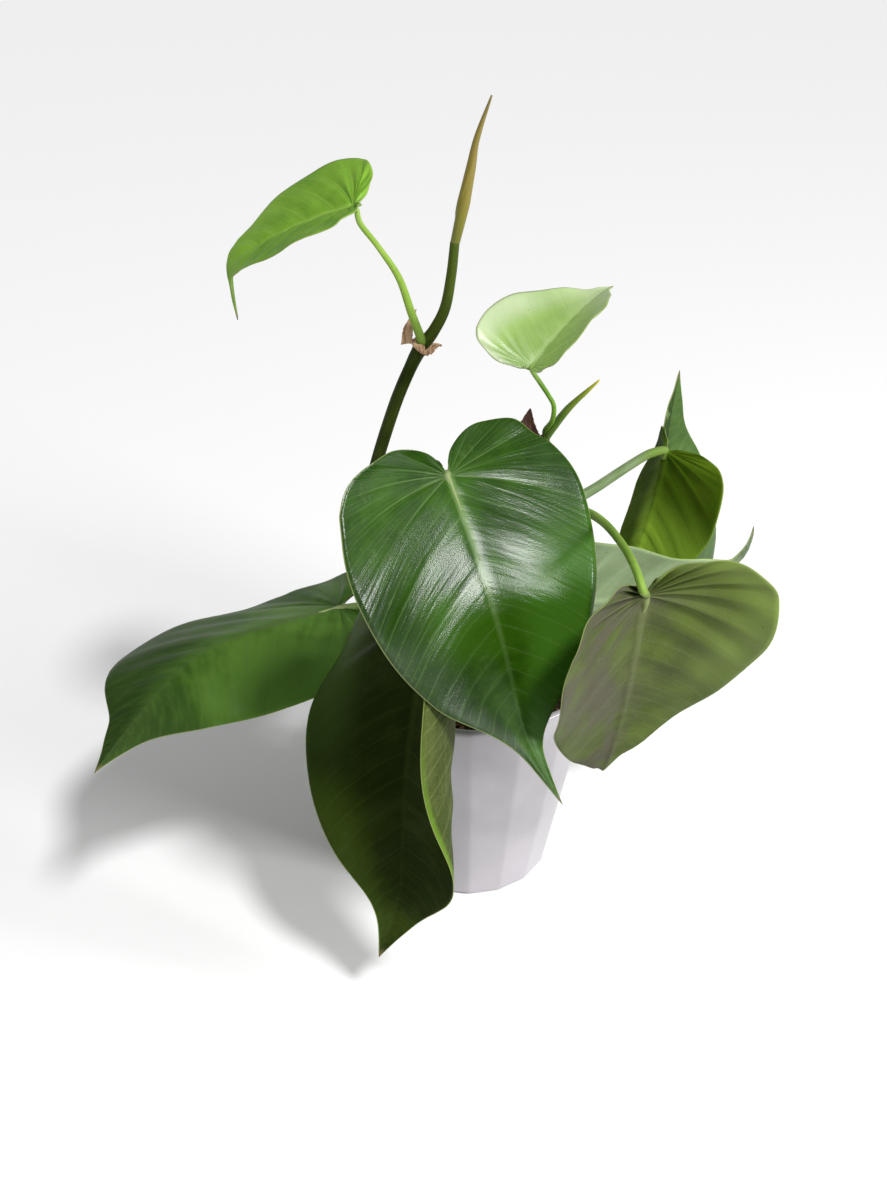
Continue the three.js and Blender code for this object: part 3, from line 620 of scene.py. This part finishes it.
def paint_marks(look, finish, vein):
    """Scars, dots, spots and pricks, the thin pale margin and the dry tip."""
    look.paint(look.fade(look.noise(150, 3, 0.7), 0.62, 0.68, 0, finish["scars"]), vein)
    look.paint(look.dots(460, 0.05, 0.13, 0.3), vein)
    look.paint(look.dots(48, 0.018, 0.034, finish["spots"]), SPOT_COLOUR)
    look.paint(look.dots(150, 0.03, 0.055, 0.5), PRICK_COLOUR)
    look.paint(look.fade(look.edge, 0.1, 0.34, 0.6, 0), MARGIN_COLOUR)
    look.paint(look.fade(look.along, 0.955, 0.99, 0, 0.8), DRY_COLOUR)


def blade_look(name, finish, is_under):
    """Blade material, which follows the blade's own measures."""
    look = BladeLook(name)
    dark, light, vein = finish["under" if is_under else "top"]
    paint_patches(look, finish, dark, light)
    if is_under:
        paint_underside(look, finish)
    paint_veins(look, finish, light, vein)
    if is_under:
        paint_net(look, vein)
    paint_marks(look, finish, vein)
    look.constant(Specular_IOR_Level=finish["shine"] * (0.6 if is_under else 1))
    rough = look.plus(look.times(look.noise(120), 0.12), finish["rough"] + (0.1 if is_under else -0.08))
    duller = look.fade(look.along, 0.55, 0.78, 0, 0.3)
    pebbles = look.bump(look.cells(2400), 0.00003, 0.8)
    dimples = look.bump(look.noise(42, 4, 0.6), 0.0004, 0.35, pebbles)
    streaks = look.bump(look.strands, finish["streaks"], 0.6, dimples)
    return look.done(Roughness=look.plus(rough, duller), Normal=streaks)


def half_blade(leaf, finish, half, shift):
    """Flat points of one half, and their measures, rise, rib and thickness."""
    length = leaf["length"]
    flat, t, r = vein_grid(leaf, half)
    along = flat[..., 0]
    spacing = np.linalg.norm(np.gradient(flat, axis=0), axis=-1) * length / (t[1, 0] - t[0, 0])
    veins = np.array(MAIN_VEINS) + shift + (HALF_SHIFT if half else -HALF_SHIFT)
    away = np.abs(t[..., None] - veins).min(-1) * spacing
    order = np.interp(t, veins, np.arange(len(veins)))
    quilt = np.sin(np.pi * (order % 1)) ** 2 * np.sin(np.pi * r**0.8) * finish["quilt"] * length
    quilt *= 1 - finish["calm"] * smooth(along, 0.15, 0.55)
    quilt -= finish["dish"] * np.sin(np.pi * r) * smooth(t, 0.1, 0.3) * smooth(1 - t, 0, 0.25)
    reach = np.linalg.norm(np.diff(flat, axis=1), axis=-1).sum(1)[:, None] * length
    edge = (1 - r) * reach
    rib = flat[..., 1] * length
    wave = np.sin(t * 41 + half * 2 + length) * r**3 * 0.006 * length * smooth(1 - t, 0, 0.2)
    sunk = (bell(away, *SIDE_VEIN["sunk"]) * (1 - 0.8 * r)
            + bell(rib, *MIDRIB["sunk"]) * (1 - 0.7 * along))
    below = (bell(away, *SIDE_VEIN["raised"]) * (1 - r)
             + bell(rib, *MIDRIB["raised"]) * (1 - np.clip(along, 0, 1)) ** 0.7)
    thick = BLADE_THICKNESS * smooth(edge, -0.5, 0.6)
    side = r if half == 0 else -r
    return flat, (away, rib, edge, t, r, along, side, quilt + wave - sunk, below, thick)


def welded(halves):
    """Points, each only once, with a row of values for each, and the faces."""
    known, points, rows, faces = {}, [], [], []
    for half, (placed, columns) in enumerate(halves):
        index = np.empty(placed.shape[:2], int)
        for i, j in np.ndindex(index.shape):
            key = tuple(round(v, 3) for v in placed[i, j])
            if key not in known:
                known[key] = len(points)
                points.append(placed[i, j])
                rows.append([float(column[i, j]) for column in columns])
            index[i, j] = known[key]
        for i, j in np.ndindex(RAYS, STEPS):
            cell = [index[i, j], index[i + 1, j], index[i + 1, j + 1], index[i, j + 1]]
            if half:
                cell.reverse()
            cell = [int(c) for k, c in enumerate(cell) if c != cell[k - 1]]
            if len(cell) > 2:
                faces.append(cell)
    return np.array(points), np.array(rows), faces


def point_normals(points, faces):
    normals = np.zeros_like(points)
    for face in faces:
        a, b, c = points[face[0]], points[face[1]], points[face[2]]
        normal = np.cross(b - a, c - a)
        if len(face) == 4:
            normal = normal + np.cross(c - a, points[face[3]] - a)
        normals[face] += normal
    return unit(normals)


def closed(faces, count):
    """The faces, the same ones below, and a rim between, with their material slots."""
    edges = dict.fromkeys((face[k], face[(k + 1) % len(face)]) for face in faces for k in range(len(face)))
    below = [[c + count for c in reversed(face)] for face in faces]
    rim = [[b, a, a + count, b + count] for a, b in edges if (b, a) not in edges]
    return faces + below + rim, [0] * len(faces) + [1] * (len(below) + len(rim))


def blade(name, leaf, finish):
    """The solid's bent sheet, with sunk veins on top and ribs below."""
    midrib = midrib_of(leaf)
    shift = rng.uniform(-VEIN_SHIFT, VEIN_SHIFT)
    halves = []
    for half in (0, 1):
        flat, columns = half_blade(leaf, finish, half, shift)
        halves.append((bend(leaf, midrib, flat, half), columns))
    points, rows, faces = welded(halves)
    rise, below, thick = rows[:, -3:].T
    normals = point_normals(points, faces)
    top = points + normals * (rise + thick / 2)[:, None]
    under = points + normals * (rise - thick / 2 - below)[:, None]
    solid, slots = closed(faces, len(points))
    values = {key: np.tile(rows[:, i], 2) for i, key in enumerate(MEASURES)}
    materials = [blade_look(f"{name}_top", finish, False), blade_look(f"{name}_under", finish, True)]
    return make_piece(name, np.vstack([top, under]), solid, materials, slots, values)


def drawn(stations, t):
    """Points of the curve through the stations, and the widths there."""
    stations = np.array(stations, float)
    x = t * (len(stations) - 1)
    return spline(stations[:, :3], t, reflect=True), np.interp(x, np.arange(len(stations)), stations[:, 3])


def ring_faces(rings, sides):
    """Faces between rings of points that follow one another."""
    pairs = [(k, (k + 1) % sides) for k in range(sides)]
    starts = range(0, (rings - 1) * sides, sides)
    return [[i + a, i + b, i + b + sides, i + a + sides] for i in starts for a, b in pairs]


def tube(name, stations, material, sides, steps, shape):
    """A round piece along stations. shape gives each ring point's share of the radius."""
    t = np.linspace(0, 1, (len(stations) - 1) * steps + 1)
    middle, radius = drawn(stations, t)
    tangent = unit(np.gradient(middle, axis=0))
    across = np.array([0.0, 1.0, 0.0])
    angle = np.linspace(0, 2 * np.pi, sides, endpoint=False)
    length = np.append(0, np.cumsum(np.linalg.norm(np.diff(middle, axis=0), axis=1)))
    rings = []
    for i in range(len(t)):
        across = unit(across - tangent[i] * (across @ tangent[i]))
        other = np.cross(tangent[i], across)
        size = radius[i] * shape(angle, t[i], length[i])
        out = np.outer(np.cos(angle) * size, across) + middle[i]
        rings.append(out + np.outer(np.sin(angle) * size, other))
    points = np.vstack(rings + [middle[:1], middle[-1:]])
    faces = ring_faces(len(t), sides)
    first, last, end = len(points) - 2, len(points) - 1, (len(t) - 1) * sides
    for a in range(sides):
        b = (a + 1) % sides
        faces += [[first, b, a], [last, end + a, end + b]]
    values = {"length": np.append(np.repeat(length, sides), [0, length[-1]]),
              "share": np.append(np.repeat(t, sides), [0, 1]),
              "turn": np.append(np.tile(angle, len(t)), [0, 0])}
    return make_piece(name, points, faces, [material], values=values)


def ribs_along(look, turns, pace, scale):
    place = look.add("ShaderNodeCombineXYZ", {
        0: look.times(look.value("turn"), turns), 1: look.times(look.value("length"), pace)})
    return look.noise(scale, 3, 0.6, place.outputs[0])


def stalk_look(name, dark, light, foot, end):
    """A smooth, finely ribbed stalk, with its own colour at the foot and at the end."""
    look = Look(name)
    share = look.value("share")
    ribbing = ribs_along(look, 2.2, 0.05, 2.4)
    tone = look.times(look.plus(ribbing, look.noise(70, 4, 0.6)), 0.5)
    look.paint(look.fade(tone, 0.35, 0.65), light, dark)
    look.paint(look.fade(share, 0.25, 0.0, 0, 0.7), foot)
    start, full, shade = end
    look.paint(look.fade(share, start, full, 0, TINT), shade)
    look.paint(look.dots(900, 0.06, 0.16, 0.3), light)
    look.constant(Specular_IOR_Level=0.07)
    rough = look.plus(look.times(look.noise(200), 0.2), 0.38)
    fine = look.bump(look.noise(1800, 2), 0.00004, 0.4)
    return look.done(Roughness=rough, Normal=look.bump(ribbing, 0.00015, 0.6, fine))


def nearest_on_stems(point):
    """The nearest place on a stem's centre line, and the radius there."""
    stems = [drawn(stations, np.linspace(0, 1, 400)) for stations in STEMS.values()]
    places, radii = (np.concatenate(column) for column in zip(*stems))
    i = np.linalg.norm(places - point, axis=1).argmin()
    return places[i], radii[i]


def stalk_stations(leaf):
    """A clasping foot in the stem, the stalk, and its run into the midrib's rib."""
    point, along, _, up = (axis[0] for axis in midrib_of(leaf))
    stalk = [np.array(s, float) for s in leaf["stalk"]]
    stem, stem_radius = nearest_on_stems(stalk[0][:3])
    outward = unit(stalk[0][:3] - stem)
    full, end = stalk[1][3], stalk[-1][3]
    sunk = stem + outward * (stem_radius - full * 0.55)
    beside = stem + outward * (stem_radius + 0.1)
    foot = [*sunk[:2], sunk[2] - 0.5, full * 1.05]
    clasp = [*beside[:2], beside[2] + 1.6, full * 1.12]
    joint = np.append(point - up * (end * 0.72) - along * 0.6, end * 0.95)
    ridge = leaf.get("ridge", 1)
    run = [np.append(point + along * d - up * (RUN_DEPTH + end * drop * ridge), end * girth * ridge)
           for d, drop, girth in RUN[:leaf.get("runs", len(RUN))]]
    return [foot, clasp] + stalk[1:] + [joint] + run


def grooved(angle, share, length):
    return 1 + 0.035 * np.cos(angle * 5) * min(1, length / 10)


def add_leaves():
    """Each blade and its stalk, whose end turns to the colour of the veins."""
    for name, leaf in LEAVES.items():
        finish = {**BASE_LOOK, **LEAF_LOOKS[leaf["look"]]}
        settle(blade(f"leaf_{name}", leaf, finish), finish["slot"], f"blade_{name}")
        dark, light = STALK_LOOKS.get(name, STALK_LOOK)
        last = len(leaf["stalk"]) + 4
        start, full = ((last - before) / last for before in TURNING)
        into_leaf = (start, full, finish["under"][2])
        material = stalk_look(f"stalk_{name}", dark, light, STALK_FOOT_COLOUR, into_leaf)
        stations = stalk_stations(leaf)
        stalk = tube(f"stalk_{name}", stations, material, sides=18, steps=8, shape=grooved)
        settle(stalk, "petiole", f"petiole_{name}")


def ringed(stations):
    """The shape of a stem: shallow ribs, and a low ring where it swells."""
    girth = [station[3] for station in stations]
    spans = len(girth) - 1
    marks = [i / spans for i in range(1, spans)
             if girth[i] >= max(girth[i - 1:i + 2]) and girth[i] > min(girth[i - 1:i + 2])]

    def shape(angle, share, length):
        ring = sum(0.1 * exp(-(((share - m) * spans / 0.16) ** 2)) for m in marks)
        return 1 + ring + 0.02 * np.cos(angle * 7 + length * 0.15)

    return shape


def add_stems():
    for name, stations in STEMS.items():
        dark, light, end = STEM_LOOKS[name]
        material = stalk_look(name + "_stem", dark, light, STEM_FOOT_COLOUR, end)
        piece = tube(name + "_stem", stations, material, sides=24, steps=10, shape=ringed(stations))
        settle(piece, "stem", name)


def new_leaf_look(name, stops, ridge):
    look = Look(name)
    wander = look.times(look.maths("SUBTRACT", look.noise(160), 0.5), 0.12)
    look.ramp(look.plus(look.value("share"), wander), stops)
    ribbing = ribs_along(look, 3.0, 0.03, 3)
    look.paint(look.fade(ribbing, 0.4, 0.7, 0, 0.35), ridge)
    return look.done(Roughness=0.36, Normal=look.bump(ribbing, 0.0002, 0.6))


def rolled(angle, share, length):
    """A blade rolled up on itself: one edge winds round the spike."""
    seam = (angle - ROLL_TURN * share) % (2 * np.pi)
    return 1 + ROLL_STEP * seam / (2 * np.pi) - ROLL_STEP / 2


def add_new_leaves():
    for name, stations in NEW_LEAVES.items():
        material = new_leaf_look(name + "_roll", *ROLLED_LOOKS[name])
        piece = tube(name + "_roll", stations, material, sides=28, steps=10, shape=rolled)
        settle(piece, "new_leaf", name)


def sheath_look(name, dark, light):
    """Dry paper with fibres that run upwards."""
    look = Look(name)
    fibres = look.noise(1400, 4, 0.6, look.stretched(look.place, (1, 1, 0.16)))
    look.paint(look.fade(fibres, 0.3, 0.7), light, dark)
    look.paint(look.fade(look.noise(240), 0.5, 0.75, 0, 0.5), dark)
    return look.done(Roughness=0.8, Normal=look.bump(fibres, 0.0003, 0.8))


def flap(points, faces, stations, across, rows=24, columns=10):
    """Adds a curled, ragged strip to the lists."""
    middle, width = drawn(stations, np.linspace(0, 1, rows + 1))
    tangent = unit(np.gradient(middle, axis=0))
    sideways = unit(np.array(across, float))
    normal = unit(np.cross(np.tile(sideways, (rows + 1, 1)), tangent))
    start, row = len(points), columns + 1
    for sign in (1, -1):
        for i in range(rows + 1):
            for j in range(row):
                share = j / columns - 0.5
                ragged = 1 + 0.05 * sin(i * 2.3) * abs(share) * 2
                lift = 0.16 * width[i] * (share * 2) ** 2 + 0.08 * sin(i * 1.1 + j * 0.9)
                lift += sign * FLAP_THICKNESS / 2
                points.append(middle[i] + sideways * share * width[i] * ragged + normal[i] * lift)
    corners = [start + i * row + j for i in range(rows) for j in range(columns)]
    sheet = [[c, c + row, c + row + 1, c + 1] for c in corners]
    faces.extend(closed(sheet, (rows + 1) * row)[0])


def collar(points, faces, at, towards, inner, outer, height, sides=28):
    """Adds a torn papery ring to the lists."""
    axis = unit(np.array(towards, float) - np.array(at, float))
    across = unit(np.cross(axis, [0.3, 1, 0.1]))
    other = np.cross(axis, across)
    start = len(points)
    for k in range(sides):
        a = 2 * pi * k / sides
        out = across * cos(a) + other * sin(a)
        tall = height * (1 + 0.25 * sin(5 * a) + 0.12 * sin(11 * a))
        profile = (
            (inner, 0), (outer - 0.2, 0.1), (outer, 0.5 * tall), (outer - 0.3, tall), (inner, tall - 0.15))
        for radius, lift in profile:
            points.append(np.array(at) + out * radius + axis * lift)
    corners = (len(points) - start) // sides
    for k in range(sides):
        here, beyond = start + k * corners, start + ((k + 1) % sides) * corners
        for m in range(corners):
            n = (m + 1) % corners
            faces.append([here + m, here + n, beyond + n, beyond + m])


def add_sheaths():
    for name, sheath in SHEATHS.items():
        points, faces = [], []
        collar(points, faces, **sheath["ring"])
        for stations, across in sheath["flaps"]:
            flap(points, faces, stations, across)
        material = sheath_look(name + "_paper", *sheath["colours"])
        settle(make_piece(name + "_paper", points, faces, [material]), sheath["slot"], name)


def inner_at(z):
    """Radius of the pot's inner wall at a height, at its corners."""
    share = (z - POT["edge_height"]) / (POT["height"] - POT["edge_height"])
    return POT["edge"] + (POT["rim"] - POT["edge"]) * share - POT["wall"]


def pot_look():
    look = Look("pot_glaze")
    dark, light = GLAZE
    look.paint(look.fade(look.noise(26, 5, 0.6), 0.35, 0.7), light, dark)
    look.constant(Coat_Weight=0.25, Coat_Roughness=0.12)
    rough = look.plus(look.times(look.noise(60, 4), 0.12), 0.27)
    fine = look.bump(look.noise(420, 3), 0.00005, 0.4)
    return look.done(Roughness=rough, Normal=look.bump(look.noise(34, 2), 0.0006, 0.35, fine))


def pot_profile():
    """The outline from the foot's middle, up the wall, over the rim and down inside."""
    foot, edge, high, rim, wall, floor, low = (
        POT[key] for key in ("foot", "edge", "height", "rim", "wall", "floor", "edge_height"))
    half = wall / 2
    base = [(0.02, 0), (foot * 0.6, 0), (foot - 0.4, 0), (foot, 0.05)]
    curve = [(foot + (edge - foot) * sin(a), low - low * cos(a)) for a in np.linspace(0.05, pi / 2, 7)]
    heights = (0.004, 0.02, 0.25, 0.5, 0.75, 0.985)
    sides = [(edge + (rim - edge) * s, low + (high - half - low) * s) for s in heights]
    lip = [(rim - half + half * cos(a), high - half + half * sin(a)) for a in np.linspace(0, pi, 9)]
    inside = [(inner_at(z), z) for z in (high - wall, 70, 40, floor + wall)]
    bowl = [(inner_at(floor + wall) - wall * 0.3, floor + wall * 0.3), (inner_at(floor) - wall, floor)]
    return base + curve + sides + lip + inside + bowl + [(0.02, floor)]


def add_pot():
    """A sixteen-sided cup with softened corners."""
    step = 2 * pi / POT["facets"]
    offsets = [radians(d) for d in CORNER_POINTS]
    angles = [(k * step + o, abs(o)) for k in range(POT["facets"]) for o in offsets]
    profile = pot_profile()
    points = []
    flat = cos(step / 2)
    for radius, z in profile:
        for angle, off in angles:
            corner = radius * flat / cos(step / 2 - off)
            soft = CORNER_SOFTNESS * radius * max(0.0, 1 - off / radians(CORNER_REACH)) ** 1.5
            points.append(((corner - soft) * cos(angle), (corner - soft) * sin(angle), z))
    faces = ring_faces(len(profile), len(angles))
    first = list(range(len(angles)))
    faces.append(first[::-1])
    faces.append([k + (len(profile) - 1) * len(angles) for k in first])
    settle(make_piece("pot_shell", points, faces, [pot_look()]), "pot", "pot")


def soil_look():
    look = Look("soil_mix")
    look.ramp(look.value("tone"), SOIL_COLOURS)
    crumbs = look.noise(900, 5, 0.7)
    look.paint(look.fade(crumbs, 0.35, 0.7, 0.0, 0.55), SOIL_CRACKS)
    look.constant(Specular_IOR_Level=0.2)
    return look.done(Roughness=0.93, Normal=look.bump(crumbs, 0.0006, 0.9))


def soil_height(x, y):
    """Height of the mound, with crumbs that fade out at the wall."""
    reach = min(1.0, hypot(x, y) / inner_at(SOIL["edge"]))
    base = SOIL["crown"] + (SOIL["edge"] - SOIL["crown"]) * reach**2
    rough = noise.noise(Vector((x, y, 0)) * 0.16) * 0.9 + noise.noise(Vector((x, y, 5)) * 0.6) * 0.35
    return base + SOIL["unevenness"] * sin(x / 5) * cos(y / 7) + rough * (1 - reach**6)


def icosahedron():
    g = (1 + 5**0.5) / 2
    points = np.array([np.roll((x, y, 0), k) for k in range(3) for y in (g, -g) for x in (-1, 1)])
    faces = [(0, 11, 5), (0, 5, 1), (0, 1, 7), (0, 7, 10), (0, 10, 11), (1, 5, 9), (5, 11, 4), (11, 10, 2),
             (10, 7, 6), (7, 1, 8), (3, 9, 4), (3, 4, 2), (3, 2, 6), (3, 6, 8), (3, 8, 9), (4, 9, 5),
             (2, 4, 11), (6, 2, 10), (8, 6, 7), (9, 8, 1)]
    return points / np.linalg.norm(points[0]), faces


def soil_mound(edge, rings=34, spokes=96):
    """Points, faces and tones of the crumbly surface."""
    points, tones = [(0, 0, soil_height(0, 0))], [0.2]
    for i in range(1, rings + 1):
        for k in range(spokes):
            a = 2 * pi * k / spokes
            r = edge * i / rings
            x, y = r * cos(a), r * sin(a)
            points.append((x, y, soil_height(x, y)))
            tones.append(0.15 + 0.25 * noise.noise(Vector((x, y, 9)) * 0.4))
    faces = [[0, 1 + k, 1 + (k + 1) % spokes] for k in range(spokes)]
    faces += [[1 + a, 1 + d, 1 + c, 1 + b] for a, b, c, d in ring_faces(rings, spokes)]
    return points, faces, tones


def chip_at(x, y, size, grain, ball):
    """A small crooked lump, turned and tilted at random. White grains are rounder."""
    shape = np.array([rng.uniform(0.7, 1.5), rng.uniform(0.5, 1.0), rng.uniform(0.35, 0.8)]) * size
    if grain > WHITE_GRAINS:
        shape = np.array([1, 0.9, 0.85]) * size * 0.8
    turn = rng.uniform(0, 2 * pi)
    tilt = rng.uniform(-0.6, 0.6)
    c, s = cos(turn), sin(turn)
    ct, st = cos(tilt), sin(tilt)
    matrix = np.array([[c, -s * ct, s * st], [s, c * ct, -c * st], [0, st, ct]])
    jitter = np.array([[rng.uniform(0.75, 1.2)] for _ in ball])
    return (ball * jitter * shape) @ matrix.T + [x, y, soil_height(x, y) + size * 0.18]


def add_soil():
    """The mound with chips of bark and a few white grains, clear of the stems."""
    edge = inner_at(SOIL["edge"]) * cos(pi / POT["facets"]) - 0.1
    points, faces, tones = soil_mound(edge)
    ball, sides = icosahedron()
    stems = [(s[1][0], s[1][1], s[1][3]) for s in STEMS.values()]
    for _ in range(CHIPS):
        r, a = edge * sqrt(rng.random()) * 0.97, rng.uniform(0, 2 * pi)
        x, y = r * cos(a), r * sin(a)
        size = rng.choice(CHIP_SIZES)
        if r + size > edge or any(hypot(x - sx, y - sy) < sr + size + 0.4 for sx, sy, sr in stems):
            continue
        grain = rng.random()
        chip = chip_at(x, y, size, grain, ball)
        start = len(points)
        points.extend(map(tuple, chip))
        tones.extend([0.98 if grain > WHITE_GRAINS else 0.12 + 0.75 * grain] * len(chip))
        faces.extend([start + a, start + b, start + c] for a, b, c in sides)
    piece = make_piece("soil_top", points, faces, [soil_look()], values={"tone": tones}, is_smooth=False)
    settle(piece, "soil", "soil")


def add_floor(reach, white):
    look = Look("pale_floor")
    look.colour = (white, white, white, 1)
    look.constant(Specular_IOR_Level=0.1)
    corners = [(x * reach, y * reach, 0) for x, y in ((-1, -1), (1, -1), (1, 1), (-1, 1))]
    floor = make_piece("floor", corners, [[0, 1, 2, 3]], [look.done(Roughness=0.9)])


def add_object(name, data, place, turn, **settings):
    """A light or the camera, with settings of its data."""
    for key, value in settings.items():
        setattr(data, key, value)
    added = bpy.data.objects.new(name, data)
    added.location, added.rotation_euler = place, turn
    bpy.context.scene.collection.objects.link(added)
    return added


def add_lights():
    """A soft sun, and a window that the front leaf mirrors."""
    turn = Vector((0.32, -0.5, 0.8)).to_track_quat("Z", "Y").to_euler()
    sun = bpy.data.lights.new("key", "SUN")
    add_object("key", sun, (0, 0, 0), turn, energy=2.1, angle=radians(8))
    place, target = Vector((0.781, -0.463, 0.448)), Vector((0.01, -0.09, 0.17))
    turn = (target - place).to_track_quat("-Z", "Y").to_euler()
    window = bpy.data.lights.new("window", "AREA")
    add_object("window", window, place, turn, shape="RECTANGLE", size=0.25, size_y=0.25, energy=6)


def add_world(strength):
    world = bpy.data.worlds.new("studio")
    world.use_nodes = True
    inputs = world.node_tree.nodes["Background"].inputs
    inputs["Color"].default_value = (1, 1, 1, 1)
    inputs["Strength"].default_value = strength
    bpy.context.scene.world = world
    bpy.context.scene.view_settings.view_transform = "Standard"


def add_camera():
    """Level, and 30 degrees down, as in the photo."""
    camera = bpy.data.cameras.new("camera")
    place, turn = (-0.0098, -0.5069, 0.41), (radians(60), 0, 0)
    bpy.context.scene.camera = add_object(
        "camera", camera, place, turn, sensor_width=36, lens=49.04, clip_start=0.02, clip_end=200)


add_leaves()
add_stems()
add_new_leaves()
add_sheaths()
add_pot()
add_soil()
add_floor(reach=60000, white=0.96)
add_lights()
add_world(strength=0.36)
add_camera()
